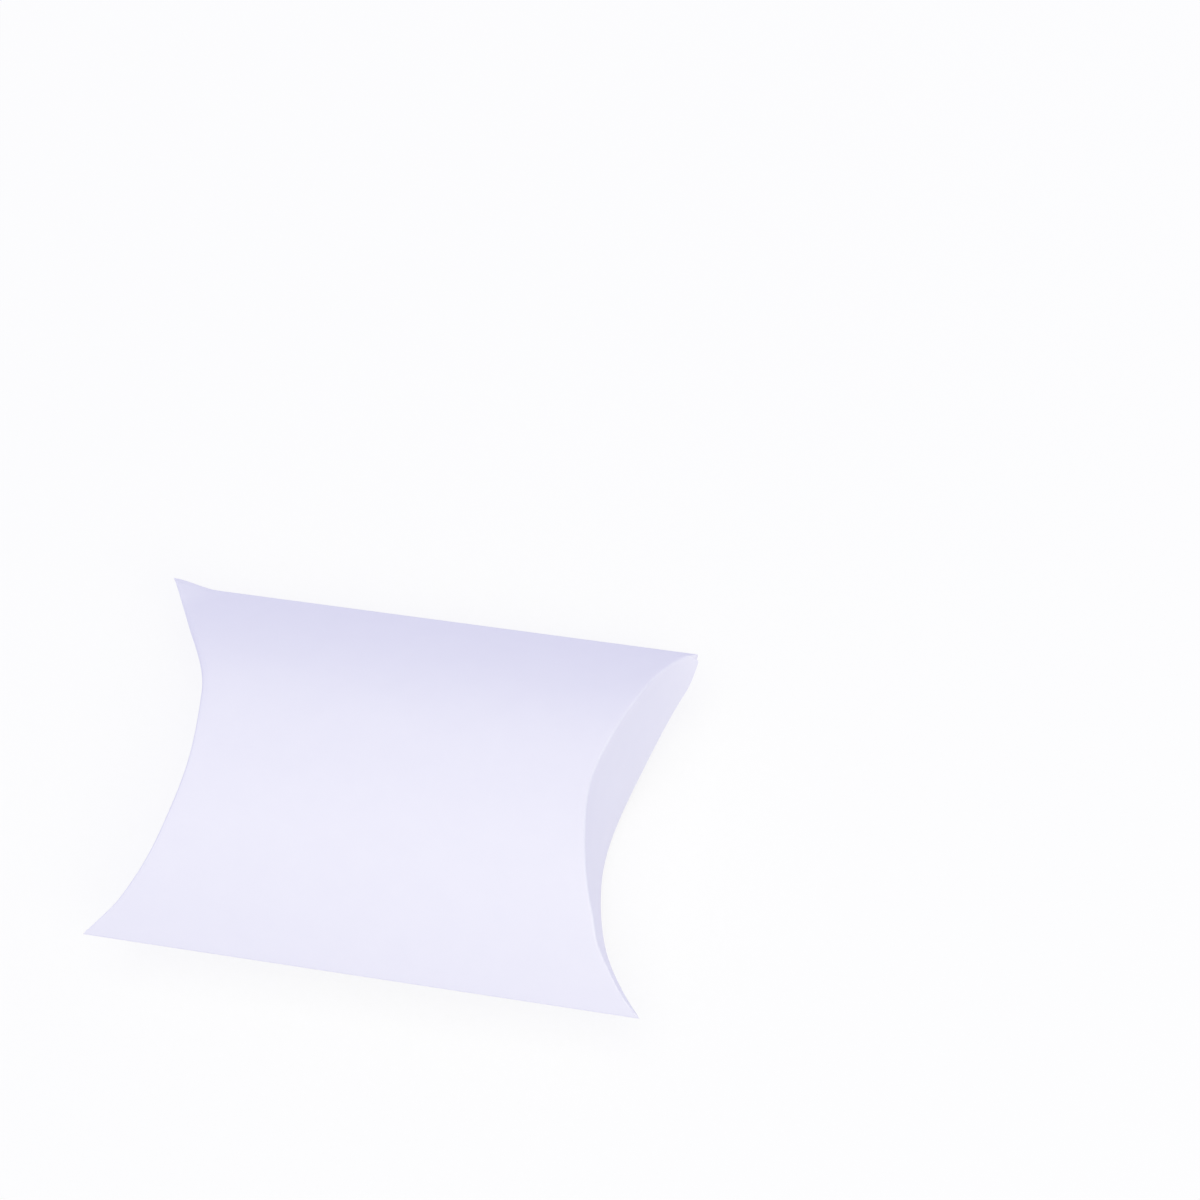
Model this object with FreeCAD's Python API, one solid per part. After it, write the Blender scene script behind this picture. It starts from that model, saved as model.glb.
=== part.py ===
import FreeCAD, Part
import math
import os

from FreeCAD import Vector

# Pillow box: one die-cut sheet of white board, bowed into two cylindrical panels and closed at
# each end by two nested flaps that fold down and up along curved scores.
# Frame: X runs along the folds, -Y is the front fold, Z is up, and the belly rests on Z = 0.

# Driving dimensions, millimetres and degrees
box_length = 90.0       # fold tip to fold tip
box_width = 62.0        # front fold to rear fold, box erected
box_height = 26.0       # belly to crown
card = 0.4              # thickness of the board
fold_band = 1.2         # width of the creased band along each straight fold
score_band = 1.2        # width of the creased band along each curved score
flap_reach = 11.9       # how far a flap's free edge bows past the line of the fold tips
inner_flap_relief = 2.5  # how much narrower the tucked-in flap is at each ear
notch_radius = 6.5      # thumb notch in the tucked-in flap
notch_depth = 6.0
tab_width = 10.0        # glue tab, measured along the board from the front fold
tab_setback = 3.0       # from the tucked-in flap to the end of the glue tab
glue_thickness = 0.1
glue_margin = 1.0       # bare border round the glue on the tab
nest_gap = 0.2          # running gap between a moving flap and what it passes
seat_gap = 0.1          # gap under the tucked-in flap and at the raw edge of the lower panel

# Worked out from the driving dimensions
half_length = box_length / 2
half_width = box_width / 2
half_height = box_height / 2
bow_radius = (half_width ** 2 + half_height ** 2) / (2 * half_height)
upper_axis_z = box_height - bow_radius
lower_axis_z = bow_radius
score_axis_x = half_length - half_height + bow_radius
band_y = half_width - fold_band
inner_flap_radius = bow_radius + card + nest_gap
tab_radius = bow_radius - card - glue_thickness
tab_end_radius = inner_flap_radius + card + tab_setback
fold_angle = math.asin(half_width / bow_radius)
tab_edge_y = bow_radius * math.sin(fold_angle - tab_width / bow_radius)
stock = 4 * (box_length + box_width + box_height)


def along_x(radius, axis_z):
    """Solid cylinder lying along the folds."""
    return Part.makeCylinder(radius, box_length, Vector(-half_length, 0, axis_z), Vector(1, 0, 0))


def upright(radius, side):
    """Solid cylinder standing beyond one end, on the axis that the end's flaps curve about."""
    base = Vector(side * score_axis_x, 0, -box_height)
    return Part.makeCylinder(radius, 3 * box_height, base, Vector(0, 0, 1))


def between_y(low, high):
    """Slab of space between two Y planes."""
    return Part.makeBox(stock, high - low, stock, Vector(-stock / 2, low, -stock / 2))


def above(level):
    """All the space above a level."""
    return Part.makeBox(stock, stock, stock, Vector(-stock / 2, -stock / 2, level))


def below(level):
    """All the space below a level."""
    return Part.makeBox(stock, stock, stock, Vector(-stock / 2, -stock / 2, level - stock))


def upper_layer():
    """Board of the upper panel, fold line to fold line, before its ends are cut."""
    ring = along_x(bow_radius, upper_axis_z).cut(along_x(bow_radius - card, upper_axis_z))
    return ring.common(above(half_height))


def lower_layer(outer_radius, thickness):
    """A layer bowed with the lower panel, of a given outer radius, up to the fold lines."""
    ring = along_x(outer_radius, lower_axis_z).cut(along_x(outer_radius - thickness, lower_axis_z))
    return ring.common(below(half_height))


def trim_ends(shape, radius):
    """Cut both ends hollow, concentric with the flaps."""
    return shape.cut(upright(radius, 1)).cut(upright(radius, -1))


def upper_panel():
    return trim_ends(upper_layer().common(between_y(-band_y, band_y)), inner_flap_radius)


def lower_panel():
    board = lower_layer(bow_radius, card).common(between_y(-half_width, band_y))
    return trim_ends(board.common(below(half_height - seat_gap)), inner_flap_radius)


def rear_fold():
    edge = between_y(band_y, half_width)
    bend = upper_layer().fuse(lower_layer(bow_radius, card)).common(edge)
    return trim_ends(bend.removeSplitter(), bow_radius)


def tab_layer():
    """Board of the glue tab, tucked inside the lower panel and under the upper one."""
    ring = along_x(tab_radius, lower_axis_z).cut(along_x(tab_radius - card, lower_axis_z))
    return ring.common(along_x(bow_radius - card / 2, upper_axis_z))


def front_fold():
    edge = between_y(-half_width, -band_y)
    bend = trim_ends(upper_layer().common(edge), bow_radius)
    tab_root = trim_ends(tab_layer().common(edge), tab_end_radius)
    return bend.fuse(tab_root).removeSplitter()


def glue_tab():
    return trim_ends(tab_layer().common(between_y(-band_y, -tab_edge_y)), tab_end_radius)


def glue_film():
    strip = between_y(-band_y + glue_margin, -tab_edge_y - glue_margin)
    film = lower_layer(bow_radius - card, glue_thickness).common(strip)
    return trim_ends(film, tab_end_radius + glue_margin)


def flap_wall(radius):
    """Upright wall of one thickness of board at the right-hand end, hollow towards the outside."""
    wall = upright(radius + card, 1).cut(upright(radius, 1))
    return wall.common(Part.makeBox(half_length, stock, stock, Vector(0, -stock / 2, -stock / 2)))


def edge_cylinder(half_span, rise, apex_z, side):
    """Cylinder along X whose arc spans the ears of a flap and whose apex is at a height."""
    radius = (half_span ** 2 + rise ** 2) / (2 * rise)
    return along_x(radius, apex_z - side * radius)


def outer_flap():
    """Wall that hangs from the upper panel: the score at its top, and the flap below it."""
    ears = between_y(-band_y + nest_gap, band_y - nest_gap)
    free_edge = edge_cylinder(half_width, flap_reach, half_height - flap_reach, -1)
    wall = flap_wall(bow_radius).common(ears).common(free_edge)
    wall = wall.common(along_x(bow_radius, upper_axis_z))
    below_score = along_x(bow_radius, upper_axis_z - score_band)
    return wall.common(below_score), wall.cut(below_score)


def inner_flap():
    """Wall that stands on the lower panel: the score at its foot, and the notched flap above."""
    half_span = half_width - inner_flap_relief
    ears = between_y(-half_span, half_span)
    apex_z = half_height + flap_reach
    free_edge = edge_cylinder(half_span, flap_reach, apex_z, 1)
    notch_z = apex_z + notch_radius - notch_depth
    wall = flap_wall(inner_flap_radius).common(ears).common(free_edge)
    wall = wall.common(along_x(bow_radius - card - seat_gap, lower_axis_z))
    above_score = along_x(bow_radius - card - seat_gap, lower_axis_z + score_band)
    flap = wall.common(above_score).cut(along_x(notch_radius, notch_z))
    return flap, wall.cut(above_score)


def mirrored(shape):
    return shape.mirror(Vector(0, 0, 0), Vector(1, 0, 0))


def save(name, shape):
    solids = shape.Solids
    if len(solids) != 1 or not shape.isValid():
        raise ValueError("%s is not one valid solid" % name)
    solids[0].exportStep("parts/%s.step" % name)
    box = solids[0].BoundBox
    print("%-18s %8.1f mm3  X %.2f..%.2f  Y %.2f..%.2f  Z %.2f..%.2f" % (
        name, solids[0].Volume, box.XMin, box.XMax, box.YMin, box.YMax, box.ZMin, box.ZMax))


os.makedirs("parts", exist_ok=True)
save("upper_panel", upper_panel())
save("lower_panel", lower_panel())
save("rear_fold", rear_fold())
save("front_fold", front_fold())
save("glue_tab", glue_tab())
save("glue_film", glue_film())
for layer, make in (("outer", outer_flap), ("inner", inner_flap)):
    flap, score = make()
    save("right_%s_flap" % layer, flap)
    save("right_%s_score" % layer, score)
    save("left_%s_flap" % layer, mirrored(flap))
    save("left_%s_score" % layer, mirrored(score))
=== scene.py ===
import math

import bmesh
import bpy
from mathutils import Matrix, Vector
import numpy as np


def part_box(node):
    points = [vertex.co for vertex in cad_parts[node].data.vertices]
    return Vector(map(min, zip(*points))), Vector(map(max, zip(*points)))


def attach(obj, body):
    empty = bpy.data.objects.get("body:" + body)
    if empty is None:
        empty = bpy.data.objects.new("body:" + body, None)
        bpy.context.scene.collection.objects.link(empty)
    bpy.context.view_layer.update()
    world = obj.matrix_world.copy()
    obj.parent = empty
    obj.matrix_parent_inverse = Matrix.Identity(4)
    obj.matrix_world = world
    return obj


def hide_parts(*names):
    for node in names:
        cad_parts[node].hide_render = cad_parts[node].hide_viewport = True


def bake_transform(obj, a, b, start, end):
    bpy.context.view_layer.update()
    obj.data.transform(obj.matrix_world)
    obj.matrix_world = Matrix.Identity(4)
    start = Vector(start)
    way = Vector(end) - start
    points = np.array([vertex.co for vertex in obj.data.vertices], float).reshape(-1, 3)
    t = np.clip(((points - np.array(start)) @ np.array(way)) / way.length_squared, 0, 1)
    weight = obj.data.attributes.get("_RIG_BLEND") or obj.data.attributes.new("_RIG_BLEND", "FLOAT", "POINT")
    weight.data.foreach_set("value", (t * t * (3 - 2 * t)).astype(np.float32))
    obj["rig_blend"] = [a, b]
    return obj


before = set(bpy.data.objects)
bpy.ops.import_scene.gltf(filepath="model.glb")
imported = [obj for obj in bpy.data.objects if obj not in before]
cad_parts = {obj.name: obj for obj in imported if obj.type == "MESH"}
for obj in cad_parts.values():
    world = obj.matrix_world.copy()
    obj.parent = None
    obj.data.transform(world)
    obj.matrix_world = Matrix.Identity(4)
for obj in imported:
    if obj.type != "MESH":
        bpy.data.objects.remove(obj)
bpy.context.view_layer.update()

mm = 0.001   # everything is in metres

# the sheet that the whole box is cut from
board = {
    "thickness": 0.4 * mm,
    "scoreBand": 1.2 * mm,   # pressed strip on the panel side of a curved score
    "scoreBend": 0.45 * mm,  # outside radius of a curved score
    "foldBend": 0.5 * mm,    # how far back from its edge a straight fold is rounded
    "taperFrom": 29.5 * mm,  # out from here the scores narrow towards the ear's tip
    "outerEar": 30.1 * mm,   # the outer flaps end here, inside the tips of the straight folds
    "lowerInset": 0.6 * mm,  # the lower scores lie this much further in than the upper ones
    "earSeam": 0.02 * mm,    # half the width of the step in a panel's end, at a flap's ear
    "bendSteps": 6,
    "columns": 72,           # facets across the width of the box
    "cutsAlong": 90,
    "sharpAngle": 32,        # degrees, edges past this stay crisp
}
skinSlot, backSlot, edgeSlot = range(3)   # material slots of every sheet

# overall sizes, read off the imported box
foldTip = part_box("rear_fold")[1]
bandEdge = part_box("rear_fold")[0].y   # the straight fold's band starts here
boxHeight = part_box("upper_panel")[1].z
halfLength = foldTip.x
halfWidth = foldTip.y
midHeight = boxHeight / 2
bowRadius = (halfWidth ** 2 + midHeight ** 2) / (2 * midHeight)
bowAxisZ = boxHeight - bowRadius

# the two layers of the sheet, with the points across the width where their flaps change
taperFrom = board["taperFrom"]
outerEar = board["outerEar"]
earSeam = board["earSeam"]
layers = {
    "upper": {"crease": 0, "ear": outerEar,
              "stops": (-outerEar, -bandEdge, -taperFrom, taperFrom, bandEdge, outerEar),
              "counts": (1, 1, board["columns"], 1, 1)},
    "lower": {"crease": board["lowerInset"], "ear": taperFrom,
              "stops": (-taperFrom, taperFrom), "counts": [board["columns"]]},
}


def bowHeight(y):   # how far the upper skin stands above the straight folds
    return max(math.sqrt(bowRadius ** 2 - y ** 2) - (bowRadius - midHeight), 0)


def earTaper(y):   # 1 along the scores, falling to 0 at the tips of the ears
    return min(bowHeight(y) / bowHeight(taperFrom), 1)


def creaseX(y, layer, setback=0):   # where the sheet ends, on the 45 degree plane of its score
    return halfLength - bowHeight(y) - (layer["crease"] + setback) * earTaper(y)


def panelEndX(y, layer):   # panels stop short of the score, but fill the tips outside the flaps
    return creaseX(y, layer, board["scoreBand"] if abs(y) < layer["ear"] else 0)


# Bmesh helpers

def turnOver(bm):   # an upper shape becomes the matching lower one
    flip = Matrix.Translation((0, 0, boxHeight)) @ Matrix.Scale(-1, 4, (0, 0, 1))
    bmesh.ops.transform(bm, matrix=flip, verts=bm.verts)
    bmesh.ops.reverse_faces(bm, faces=bm.faces)


def bowArc(bm, stops, radius, counts):   # arcs over the crown from stop to stop, at x = 0
    tip = bm.verts.new((0, stops[0], bowAxisZ + math.sqrt(radius ** 2 - stops[0] ** 2)))
    for yFrom, yTo, steps in zip(stops, stops[1:], counts):
        turn = math.asin(yFrom / radius) - math.asin(yTo / radius)
        made = bmesh.ops.spin(bm, geom=[tip], cent=(0, 0, bowAxisZ), axis=(1, 0, 0), angle=turn,
                              steps=steps)
        tip = next(g for g in made["geom_last"] if isinstance(g, bmesh.types.BMVert))


def pullRow(bm, edges):   # extrudes a row of edges and returns the new row and its points
    made = bmesh.ops.extrude_edge_only(bm, edges=edges)["geom"]
    points = {g for g in made if isinstance(g, bmesh.types.BMVert)}
    row = [e for e in bm.edges if e.verts[0] in points and e.verts[1] in points]
    return row, points


def cutAlong(bm):   # cross cuts on every edge that runs from end to end
    runs = [e for e in bm.edges if e.verts[0].co.x * e.verts[1].co.x < 0]
    bmesh.ops.subdivide_edges(bm, edges=runs, cuts=board["cutsAlong"], use_grid_fill=True)


def faceOutwards(bm, outward):   # outward is a direction that most of the skin looks in
    bm.normal_update()
    if sum(f.normal.dot(Vector(outward)) * f.calc_area() for f in bm.faces) < 0:
        bmesh.ops.reverse_faces(bm, faces=bm.faces)


def giveThickness(bm):   # from the coated skin inwards; returns the points of the skin
    skinFaces = set(bm.faces)
    skinVerts = set(bm.verts)
    bmesh.ops.solidify(bm, geom=bm.faces[:], thickness=board["thickness"])
    for face in bm.faces:
        if face in skinFaces:
            face.material_index = skinSlot
        elif skinVerts.intersection(face.verts):
            face.material_index = edgeSlot
        else:
            face.material_index = backSlot
    return skinVerts


def shadeSheet(bm):
    limit = math.radians(board["sharpAngle"])
    for face in bm.faces:
        face.smooth = True
    for edge in bm.edges:
        edge.smooth = edge.calc_face_angle(0) < limit


def makePiece(name, bm, materials):
    shadeSheet(bm)
    mesh = bpy.data.meshes.new(name)
    bm.to_mesh(mesh)
    bm.free()
    for material in materials:
        mesh.materials.append(material)
    piece = bpy.data.objects.new(name, mesh)
    bpy.context.scene.collection.objects.link(piece)
    return piece


# Folded by hand

# the scores of this box wander along X, most of all at the ears
handFold = {
    # each push in mm: how far outwards, its middle along Y and its half width
    "rightUpper": [(0.5, -8, 15), (0.65, 11, 12), (-0.62, -22.5, 4.8), (-0.62, -27.3, 4.8),
                   (-3.0, 33, 17)],
    "rightLower": [(1.55, 15, 21.5), (0.42, -26.5, 10), (-2.5, 33.5, 8)],
    "left": [(2.0, 22.5, 14.5), (0.35, 31, 8), (0.2, 4, 10), (-0.25, -20, 9), (1.1, -31, 6)],
    "leftRoll": [(0.4, 17, 14), (0.3, 20, 9)],   # down, at the upper panel's left rim
    "rollReach": 1.4 * mm,
    "leftEarPush": (0, 0.75 * mm, 1.2 * mm),     # the rear left ear, flared back and up
    "leftEarReach": 8 * mm,
    "rearSwell": 0.7 * mm,   # the upper panel, fuller behind its crown
    "tipRise": 1.2 * mm,     # least height over which the two scores part
    "fadeFrom": 20 * mm,     # the drift along X starts this far from the middle of the box
    "fadeTo": 32 * mm,       # and is at its full size from here on
}


def clamp(share):
    return min(max(share, 0), 1)


def ramp(value, low, high):   # eases from 0 at low to 1 at high
    share = clamp((value - low) / (high - low))
    return share * share * (3 - 2 * share)


def wander(pushes, y):   # smooth bumps along a score, added up
    total = 0
    for out, middle, half in pushes:
        off = min(abs(y / mm - middle) / half, 1)
        total += out * mm * math.cos(off * math.pi / 2) ** 2
    return total


def scoreDrift(side, y, lower):   # lower runs from 0 at the upper score to 1 at the lower one
    if side < 0:
        return wander(handFold["left"], y)
    return wander(handFold["rightUpper"], y) * (1 - lower) + wander(handFold["rightLower"], y) * lower


def foldByHand(bm):
    earTip = Vector((-halfLength, halfWidth))
    for v in bm.verts:
        side = 1 if v.co.x > 0 else -1
        # shares from 0 to 1: how low the point lies, how near an end and how near the rear left ear
        rise = max(bowHeight(v.co.y), handFold["tipRise"])
        lower = clamp((midHeight + rise - v.co.z) / (2 * rise))
        fade = ramp(abs(v.co.x), handFold["fadeFrom"], handFold["fadeTo"])
        near = 1 - ramp((v.co.xy - earTip).length, 0, handFold["leftEarReach"])
        # the top swells behind its crown and rolls down at its left rim, and less so further down
        swell = math.sin(math.pi * clamp(v.co.y / taperFrom)) ** 2 * max(1 - 2 * lower, 0)
        rim = creaseX(v.co.y, layers["upper"])
        roll = clamp(1 - (v.co.x + rim) / handFold["rollReach"]) ** 2 * (1 - lower)
        v.co.z += handFold["rearSwell"] * swell - wander(handFold["leftRoll"], v.co.y) * roll
        v.co.x += side * fade * scoreDrift(side, v.co.y, lower)
        v.co += Vector(handFold["leftEarPush"]) * near


# Material helpers

def linear(hexColour):   # sRGB hex to linear RGBA
    parts = [int(hexColour[i:i + 2], 16) / 255 for i in (1, 3, 5)]
    return [p / 12.92 if p <= 0.04045 else ((p + 0.055) / 1.055) ** 2.4 for p in parts] + [1]


def addNode(tree, kind, inputs=None, **settings):   # an input is a value or another node's socket
    node = tree.nodes.new(kind)
    for name, value in settings.items():
        setattr(node, name, value)
    for name, value in (inputs or {}).items():
        if isinstance(value, bpy.types.NodeSocket):
            tree.links.new(value, node.inputs[name])
        else:
            node.inputs[name].default_value = value
    return node


def newMaterial(name):
    material = bpy.data.materials.new(name)
    material.use_nodes = True
    material.node_tree.nodes.clear()
    return material, material.node_tree


# Board and glue

# what all four finishes share: an IOR usual for pulp, clay and glue, and how ragged the noise is
sheetFinish = {
    "ior": 1.5,
    "cloud": {"Detail": 3, "Roughness": 0.55},
    "grain": {"Detail": 4, "Roughness": 0.6},
}


def boardMaterial(name, finish):   # a cloudy colour, with a fine grain in the gloss and the bump
    material, tree = newMaterial(name)
    place = addNode(tree, "ShaderNodeTexCoord").outputs["Object"]
    stretched = addNode(tree, "ShaderNodeMapping", {"Vector": place, "Scale": finish["stretch"]})
    cloud = addNode(tree, "ShaderNodeTexNoise", {
        "Vector": place, "Scale": 1 / finish["cloudSize"], **sheetFinish["cloud"]})
    grain = addNode(tree, "ShaderNodeTexNoise", {
        "Vector": stretched.outputs["Vector"], "Scale": 1 / finish["grainSize"],
        **sheetFinish["grain"]})
    mixed = addNode(tree, "ShaderNodeMix", {
        "Factor": cloud.outputs["Fac"], "A": linear(finish["dark"]), "B": linear(finish["light"])},
        data_type="RGBA")
    rough = addNode(tree, "ShaderNodeMapRange", {
        "Value": grain.outputs["Fac"], "To Min": finish["rough"][0], "To Max": finish["rough"][1]})
    bump = addNode(tree, "ShaderNodeBump", {
        "Height": grain.outputs["Fac"], "Strength": finish["bump"], "Distance": finish["depth"]})
    shader = addNode(tree, "ShaderNodeBsdfPrincipled", {
        "Base Color": mixed.outputs["Result"], "Roughness": rough.outputs["Result"],
        "Normal": bump.outputs["Normal"], "IOR": sheetFinish["ior"]})
    addNode(tree, "ShaderNodeOutputMaterial", {"Surface": shader.outputs["BSDF"]})
    return material


# single fibres are about 0.03 mm across and wouldn't show, so the grain is drawn as coarser tufts

# clay-coated face: an even lavender white, matt, with only a breath of cloudiness
coatedBoard = boardMaterial("clay_coated_board", {
    "dark": "#eeedfa", "light": "#f1f0fc", "cloudSize": 5 * mm,
    "grainSize": 0.5 * mm, "stretch": (1, 1, 1),
    "rough": (0.5, 0.6), "bump": 0.25, "depth": 0.01 * mm})

# uncoated back: pulp fibres lie open along X, so it is duller, a touch warmer and slightly furred
uncoatedBoard = boardMaterial("uncoated_pulp_board", {
    "dark": "#e6e5ef", "light": "#eeedf4", "cloudSize": 3 * mm,
    "grainSize": 0.35 * mm, "stretch": (0.4, 1, 1),
    "rough": (0.8, 0.92), "bump": 0.5, "depth": 0.02 * mm})

# die-cut edge: the torn core of the sheet, greyer than both faces
cutBoard = boardMaterial("die_cut_board_edge", {
    "dark": "#dedce6", "light": "#e9e7f0", "cloudSize": 0.8 * mm,
    "grainSize": 0.2 * mm, "stretch": (1, 1, 1),
    "rough": (0.85, 0.95), "bump": 0.6, "depth": 0.02 * mm})

# dried dispersion glue: milky, with a dull shine
driedGlue = boardMaterial("dried_dispersion_glue", {
    "dark": "#e4e1d8", "light": "#f0eee6", "cloudSize": 2 * mm,
    "grainSize": 0.6 * mm, "stretch": (1, 1, 1),
    "rough": (0.35, 0.5), "bump": 0.3, "depth": 0.02 * mm})

sheetMaterials = [coatedBoard, uncoatedBoard, cutBoard]   # in the order of the slots
print("materials: coated face, uncoated back, cut edge and glue")


# Panels

nest = {
    "rawEdge": 30.0 * mm,    # the lower panel's raw edge, just short of the front fold
    "glue": 0.1 * mm,
    "tabSetback": 1.4 * mm,  # the tab's ends clear the inner flaps
    "tabSlope": 0.6,         # and lean in towards its free edge
    "tabColumns": 10,
}
tabRadius = bowRadius - board["thickness"] - nest["glue"]
tabEdge = -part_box("glue_tab")[1].y


def upperEnd(y):
    return panelEndX(y, layers["upper"])


def lowerEnd(y):
    return panelEndX(y, layers["lower"])


def tabEnd(y):
    setback = nest["tabSetback"] if abs(y) < outerEar else 0
    return creaseX(y, layers["upper"], setback) - nest["tabSlope"] * max(bandEdge - abs(y), 0)


def earStops(layer):   # either side of the step at the flap's ear
    return layer["ear"] - earSeam, layer["ear"] + earSeam


def bowedSheet(name, shape):
    bm = bmesh.new()
    bowArc(bm, shape["stops"], shape["radius"], shape["counts"])
    leftEnd = bm.verts[:]
    rightEnd = pullRow(bm, bm.edges[:])[1]
    for side, points in ((-1, leftEnd), (1, rightEnd)):
        for v in points:
            v.co.x = side * shape["end"](v.co.y)
    cutAlong(bm)
    faceOutwards(bm, (0, 0, 1))
    if shape["lower"]:
        turnOver(bm)
    giveThickness(bm)
    foldByHand(bm)
    piece = makePiece(name, bm, sheetMaterials)
    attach(piece, "carton")
    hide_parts(shape["node"])


bowedSheet("upper_panel_board", {
    "node": "upper_panel", "slot": "board", "lower": False, "radius": bowRadius, "end": upperEnd,
    "stops": (-bandEdge, -taperFrom, taperFrom, bandEdge), "counts": (1, board["columns"], 1)})

lowIn, lowOut = earStops(layers["lower"])
bowedSheet("lower_panel_board", {
    "node": "lower_panel", "slot": "board", "lower": True, "radius": bowRadius, "end": lowerEnd,
    "stops": (-nest["rawEdge"], -lowOut, -lowIn, lowIn, lowOut, bandEdge),
    "counts": (1, 1, board["columns"], 1, 1)})

bowedSheet("glue_tab_board", {
    "node": "glue_tab", "slot": "inner_board", "lower": True, "radius": tabRadius, "end": tabEnd,
    "stops": (-bandEdge, -tabEdge), "counts": [nest["tabColumns"]]})

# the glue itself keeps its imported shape
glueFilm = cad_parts["glue_film"].data
glueFilm.materials.clear()
glueFilm.materials.append(driedGlue)
print("panels: upper, lower, glue tab and glue")


# Straight folds

tipGap = 0.01 * mm   # on either side of the mid line, so that the legs' tips stay clean meshes


def shutTips(bm, skinVerts):   # past the flaps' ears the two legs meet, and coated board shows
    tips = []
    for face in bm.faces:
        rim = skinVerts.intersection(face.verts)
        if face.material_index == edgeSlot and all(abs(v.co.y) >= outerEar for v in rim):
            leg = sum(v.co.z for v in rim) / len(rim) - midHeight
            tips.append((leg, face))
    # the upper leg comes last, so that on every run it takes the point that both legs share
    for leg, face in sorted(tips, key=lambda tip: tip[0]):
        face.material_index = skinSlot
        for v in set(face.verts) - skinVerts:
            v.co.y = math.copysign(max(abs(v.co.y), outerEar + earSeam), v.co.y)
            v.co.x = math.copysign(upperEnd(v.co.y), v.co.x)
            v.co.z = midHeight + math.copysign(tipGap, leg)


def foldStrip(name, shape):
    bm = bmesh.new()
    side = shape["side"]
    stops = (bandEdge, *earStops(layers["upper"]))
    upperLeg = [(y, midHeight + (halfWidth - y) * shape["upperSlope"]) for y in stops]
    lowerLeg = [(y, midHeight - (halfWidth - y) * shape["lowerSlope"]) for y in reversed(stops)]
    profile = upperLeg + [(halfWidth, midHeight)] + lowerLeg
    points = [bm.verts.new((-halfLength, side * y, z)) for y, z in profile]
    for pair in zip(points, points[1:]):
        bm.edges.new(pair)
    rightEnd = pullRow(bm, bm.edges[:])[1]
    bmesh.ops.translate(bm, vec=(2 * halfLength, 0, 0), verts=list(rightEnd))
    ridgeLine = [e for e in bm.edges if all(abs(v.co.y) > halfWidth - earSeam for v in e.verts)]
    bmesh.ops.bevel(bm, geom=ridgeLine, offset=board["foldBend"], affect="EDGES",
                    segments=board["bendSteps"], profile=0.5, material=-1)
    for v in bm.verts:
        end = shape["lowerEnd"](v.co.y) if v.co.z < midHeight else upperEnd(v.co.y)
        v.co.x = math.copysign(end, v.co.x)
    cutAlong(bm)
    faceOutwards(bm, (0, side, 0))
    shutTips(bm, giveThickness(bm))
    foldByHand(bm)
    piece = makePiece(name, bm, sheetMaterials)
    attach(piece, "carton")
    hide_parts(shape["node"])


bandWidth = halfWidth - bandEdge
bandRise = bowHeight(bandEdge)
tabRise = midHeight - (bowRadius - math.sqrt(tabRadius ** 2 - bandEdge ** 2))
foldStrip("rear_fold_board", {
    "node": "rear_fold", "side": 1, "lowerEnd": lowerEnd,
    "upperSlope": bandRise / bandWidth, "lowerSlope": bandRise / bandWidth})
foldStrip("front_fold_board", {
    "node": "front_fold", "side": -1, "lowerEnd": tabEnd,
    "upperSlope": bandRise / bandWidth, "lowerSlope": tabRise / bandWidth})
print("folds: rear and front")


# End flaps

flapSheet = {
    "reach": 11.9 * mm,      # how far a free edge bows past the line of the fold tips
    "innerSpan": 28.5 * mm,  # half the width of a tucked-in flap's free edge
    "notch": {"radius": 6.5 * mm, "depth": 6.0 * mm},   # for the thumb
    "leastWall": 0.3 * mm,   # height of a flap's wall at its ears
    "rows": 10,
}
flapKinds = {
    "outer": {"layer": layers["upper"], "lower": False, "span": halfWidth, "notch": None},
    "inner": {"layer": layers["lower"], "lower": True, "span": flapSheet["innerSpan"],
              "notch": flapSheet["notch"]},
}


def spreadColumns(bm, notch):   # gathers columns at the mouth of the notch, where its rim is steep
    half = math.asin(notch["radius"] / bowRadius)
    for v in bm.verts:
        lean = math.asin(v.co.y / bowRadius)
        if abs(lean) < half:
            moved = half * math.sin(lean / half * math.pi / 2)
            v.co.y = bowRadius * math.sin(moved)
            v.co.z = bowAxisZ + bowRadius * math.cos(moved)


def freeEdge(y, flap):   # height of the flap's free edge, in the upper position
    reach = flapSheet["reach"]
    edgeRadius = (flap["span"] ** 2 + reach ** 2) / (2 * reach)
    edge = midHeight - reach + edgeRadius - math.sqrt(edgeRadius ** 2 - y ** 2)
    notch = flap["notch"]
    if notch and abs(y) < notch["radius"]:
        centre = midHeight - reach - (notch["radius"] - notch["depth"])
        edge = max(edge, centre + math.sqrt(notch["radius"] ** 2 - y ** 2))
    return edge


def flapSkin(flap):   # a right-hand flap in the upper position
    bm = bmesh.new()
    roundBend = bm.verts.layers.float.new("roundBend")   # 0 on the lead-in, 1 on the wall
    layer = flap["layer"]
    bowArc(bm, layer["stops"], bowRadius, layer["counts"])
    if flap["notch"]:
        spreadColumns(bm, flap["notch"])
    for v in bm.verts:
        v.co.x = creaseX(v.co.y, layer, board["scoreBand"])
    row = bm.edges[:]
    for step in range(board["bendSteps"] + 1):   # the flat lead-in, then round the bend
        around = step / board["bendSteps"]
        turn = math.pi / 2 * around
        row, points = pullRow(bm, row)
        for v in points:
            bend = board["scoreBend"] * earTaper(v.co.y)
            v.co.x = creaseX(v.co.y, layer) - bend * (1 - math.sin(turn))
            v.co.z = midHeight + bowHeight(v.co.y) - bend * (1 - math.cos(turn))
            v[roundBend] = around ** 2
    foot = points
    bottom = pullRow(bm, row)[1]
    for v in bottom:
        v.co.z = min(freeEdge(v.co.y, flap), v.co.z - flapSheet["leastWall"])
    wall = [e for e in bm.edges if foot.intersection(e.verts) and bottom.intersection(e.verts)]
    bmesh.ops.subdivide_edges(bm, edges=wall, cuts=flapSheet["rows"], use_grid_fill=True)
    faceOutwards(bm, (1, 0, 0))
    return bm


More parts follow.
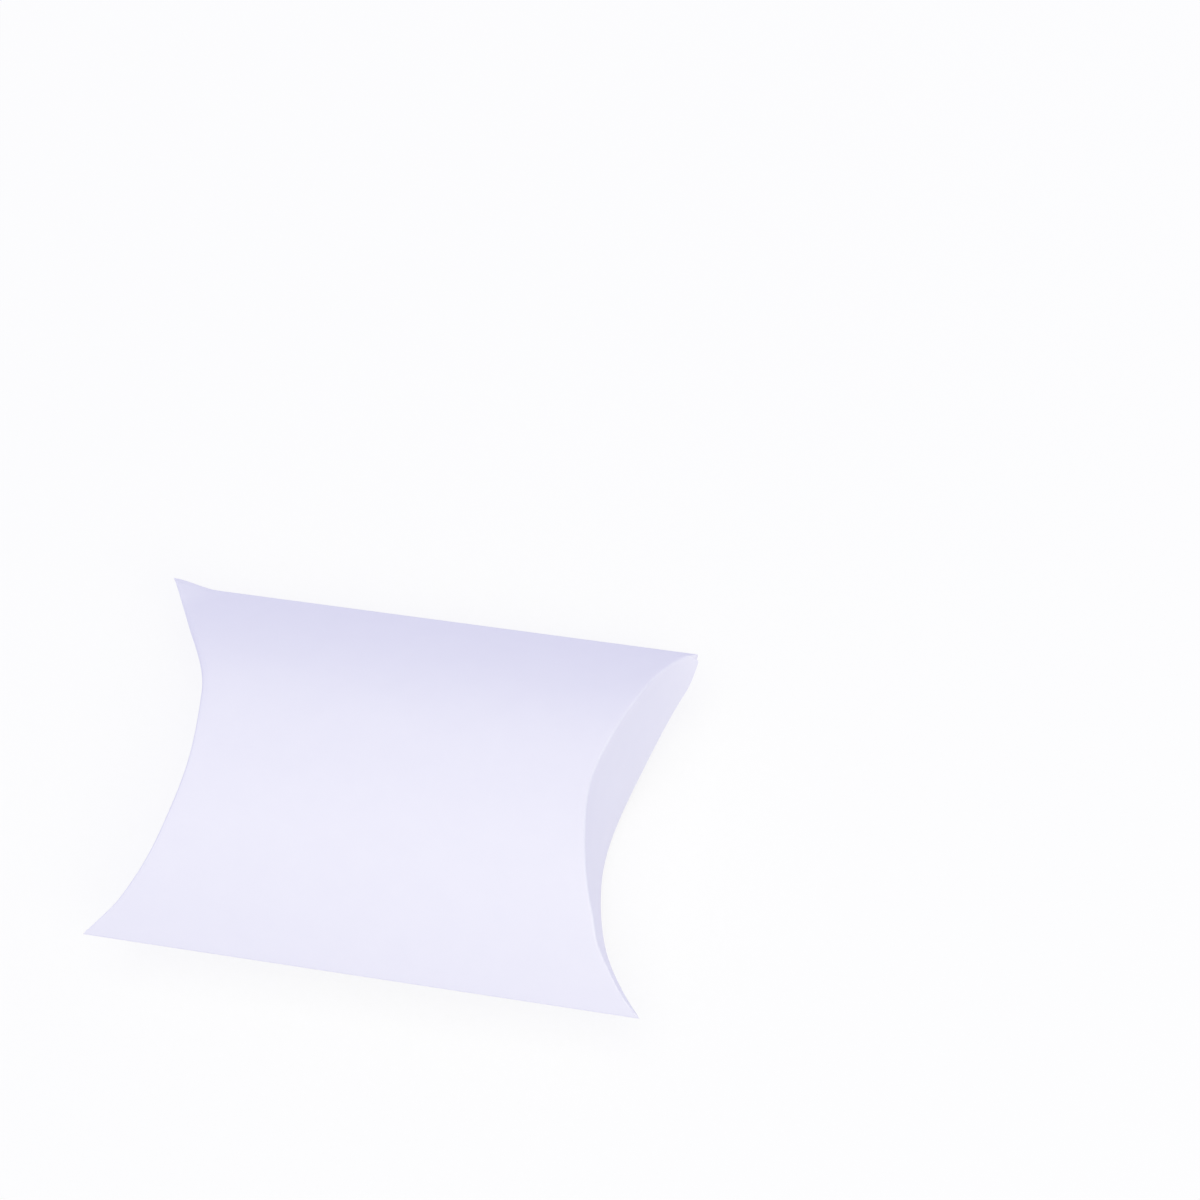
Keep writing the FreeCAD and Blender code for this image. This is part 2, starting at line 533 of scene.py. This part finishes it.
def placeFlap(bm, flap, side):   # carries the upper right-hand flap to its own corner, and back
    if side < 0:
        bmesh.ops.transform(bm, matrix=Matrix.Scale(-1, 4, (1, 0, 0)), verts=bm.verts)
        bmesh.ops.reverse_faces(bm, faces=bm.faces)
    if flap["lower"]:
        turnOver(bm)


def shareHinge(bm, flap, side, skinVerts):   # how much of the hinge's turn each point follows
    before = [v.co.copy() for v in bm.verts]
    placeFlap(bm, flap, side)   # folded by hand in its own corner, then measured in the upper right one
    foldByHand(bm)
    placeFlap(bm, flap, side)
    roundBend = bm.verts.layers.float["roundBend"]
    hingeX = creaseX(0, flap["layer"])
    for v, old in zip(bm.verts, before):
        slope = old.y / math.sqrt(bowRadius ** 2 - old.y ** 2)
        depth = 0 if v in skinVerts else board["thickness"] * math.hypot(1, slope)
        # opened out, the flap carries on the bow of the panel at the height of its score
        sink = midHeight - bowHeight(old.y) - (v.co.z - old.z) + depth
        below = boxHeight - v.co.z
        behind = v.co.x - hingeX
        arm = max(math.hypot(below, behind), sink)
        v[roundBend] *= (math.atan2(below, behind) - math.asin(sink / arm)) / (math.pi / 2)
    placeFlap(bm, flap, side)


def makeFlap(sideName, side, kind):
    flap = flapKinds[kind]
    body = sideName + "_" + kind
    bm = flapSkin(flap)
    skinVerts = giveThickness(bm)
    shareHinge(bm, flap, side, skinVerts)
    piece = makePiece(body + "_flap_board", bm, sheetMaterials)
    crease = Vector((side * (halfLength - midHeight), 0, boxHeight))
    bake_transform(piece, "carton", body, start=crease, end=crease + Vector((0, 0, -board["scoreBend"])))
    # the score is curved, so each point's own share takes the place of the straight blend
    shares = [0.0] * len(piece.data.vertices)
    piece.data.attributes["roundBend"].data.foreach_get("value", shares)
    piece.data.attributes["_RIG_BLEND"].data.foreach_set("value", shares)
    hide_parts(body + "_flap", body + "_score")


for sideName, side in (("right", 1), ("left", -1)):
    for kind in flapKinds:
        makeFlap(sideName, side, kind)
print("flaps: outer and inner at both ends")


# Studio

studio = {
    "floorHalf": 3.0,
    "floorColour": "#fafafc",
    "floorGlow": 0.8,         # share of plain white that the camera sees in the floor by the box
    "glowFrom": 0.1,          # and it rises to all white between these distances
    "glowTo": 0.6,
    "worldColour": "#dbdbff",
    "worldStrength": 0.768,
    "lamps": [
        {"name": "topSoftbox", "at": (0.0, -0.105, 1.195),
         "size": 1.0, "power": 4.55, "colour": "#ffffcb"},
        {"name": "frontSoftbox", "at": (0.62, -0.55, 0.88),
         "size": 0.6, "power": 2.9, "colour": "#ffffb8"},
    ],
}


def whiteToCamera(tree, lit, whiteKind, glow=None):   # the camera, mirrors and glass see white there
    rays = addNode(tree, "ShaderNodeLightPath").outputs
    seen = rays["Is Camera Ray"]
    for ray in ("Is Glossy Ray", "Is Transmission Ray"):
        seen = addNode(tree, "ShaderNodeMath", {0: seen, 1: rays[ray]}, operation="MAXIMUM").outputs[0]
    if glow is not None:
        seen = addNode(tree, "ShaderNodeMath", {0: seen, 1: glow}, operation="MULTIPLY").outputs[0]
    white = addNode(tree, whiteKind, {"Color": (1, 1, 1, 1), "Strength": 1}).outputs[0]
    return addNode(tree, "ShaderNodeMixShader", {0: seen, 1: lit, 2: white}).outputs[0]


world = bpy.data.worlds.new("studio")
bpy.context.scene.world = world
world.use_nodes = True
tree = world.node_tree
tree.nodes.clear()
sky = addNode(tree, "ShaderNodeBackground", {
    "Color": linear(studio["worldColour"]), "Strength": studio["worldStrength"]}).outputs[0]
seenSky = whiteToCamera(tree, sky, "ShaderNodeBackground")
addNode(tree, "ShaderNodeOutputWorld", {"Surface": seenSky})

# matt white paper: all white further off, and by the box it keeps the shadow
floorPaper, tree = newMaterial("pale_paper_floor")
paper = addNode(tree, "ShaderNodeBsdfDiffuse", {"Color": linear(studio["floorColour"])}).outputs[0]
place = addNode(tree, "ShaderNodeTexCoord").outputs["Object"]
away = addNode(tree, "ShaderNodeVectorMath", {0: place}, operation="LENGTH").outputs["Value"]
glow = addNode(tree, "ShaderNodeMapRange", {
    "Value": away, "From Min": studio["glowFrom"], "From Max": studio["glowTo"],
    "To Min": studio["floorGlow"], "To Max": 1}).outputs["Result"]
seenPaper = whiteToCamera(tree, paper, "ShaderNodeEmission", glow)
addNode(tree, "ShaderNodeOutputMaterial", {"Surface": seenPaper})

bm = bmesh.new()
bmesh.ops.create_grid(bm, x_segments=1, y_segments=1, size=studio["floorHalf"])
floor = makePiece("floor", bm, [floorPaper])

boxMiddle = Vector((0, 0, midHeight))
for spec in studio["lamps"]:
    light = bpy.data.lights.new(spec["name"], "AREA")
    light.size = spec["size"]
    light.energy = spec["power"]
    light.color = linear(spec["colour"])[:3]
    lamp = bpy.data.objects.new(spec["name"], light)
    lamp.location = spec["at"]
    lamp.rotation_euler = (boxMiddle - lamp.location).to_track_quat("-Z", "Y").to_euler()
    bpy.context.scene.collection.objects.link(lamp)
bpy.context.scene.view_settings.view_transform = "Standard"
print("studio: floor, world and", len(studio["lamps"]), "lamps")


# Camera

cameraView = {
    "aim": (24.905 * mm, 38.040 * mm, 13.0 * mm),   # in the middle of the picture
    "range": 613.69 * mm,   # from there to the lens
    "azimuth": 26.40,       # degrees, from the front towards the right-hand end
    "elevation": 64.75,     # degrees above the floor
    "roll": -16.72,         # degrees about the line of sight
    "lens": 113.32,         # in mm, on the default sensor
}
azimuth = math.radians(cameraView["azimuth"])
elevation = math.radians(cameraView["elevation"])
back = Vector((math.sin(azimuth) * math.cos(elevation), -math.cos(azimuth) * math.cos(elevation),
               math.sin(elevation)))
stand = Matrix.Translation(Vector(cameraView["aim"]) + back * cameraView["range"])
level = (-back).to_track_quat("-Z", "Y").to_matrix().to_4x4()
tilt = Matrix.Rotation(math.radians(cameraView["roll"]), 4, "Z")
camera = bpy.data.objects.new("camera", bpy.data.cameras.new("camera"))
camera.data.lens = cameraView["lens"]
camera.matrix_world = stand @ level @ tilt
bpy.context.scene.collection.objects.link(camera)
bpy.context.scene.camera = camera
print("camera: set")

bpy.context.view_layer.update()
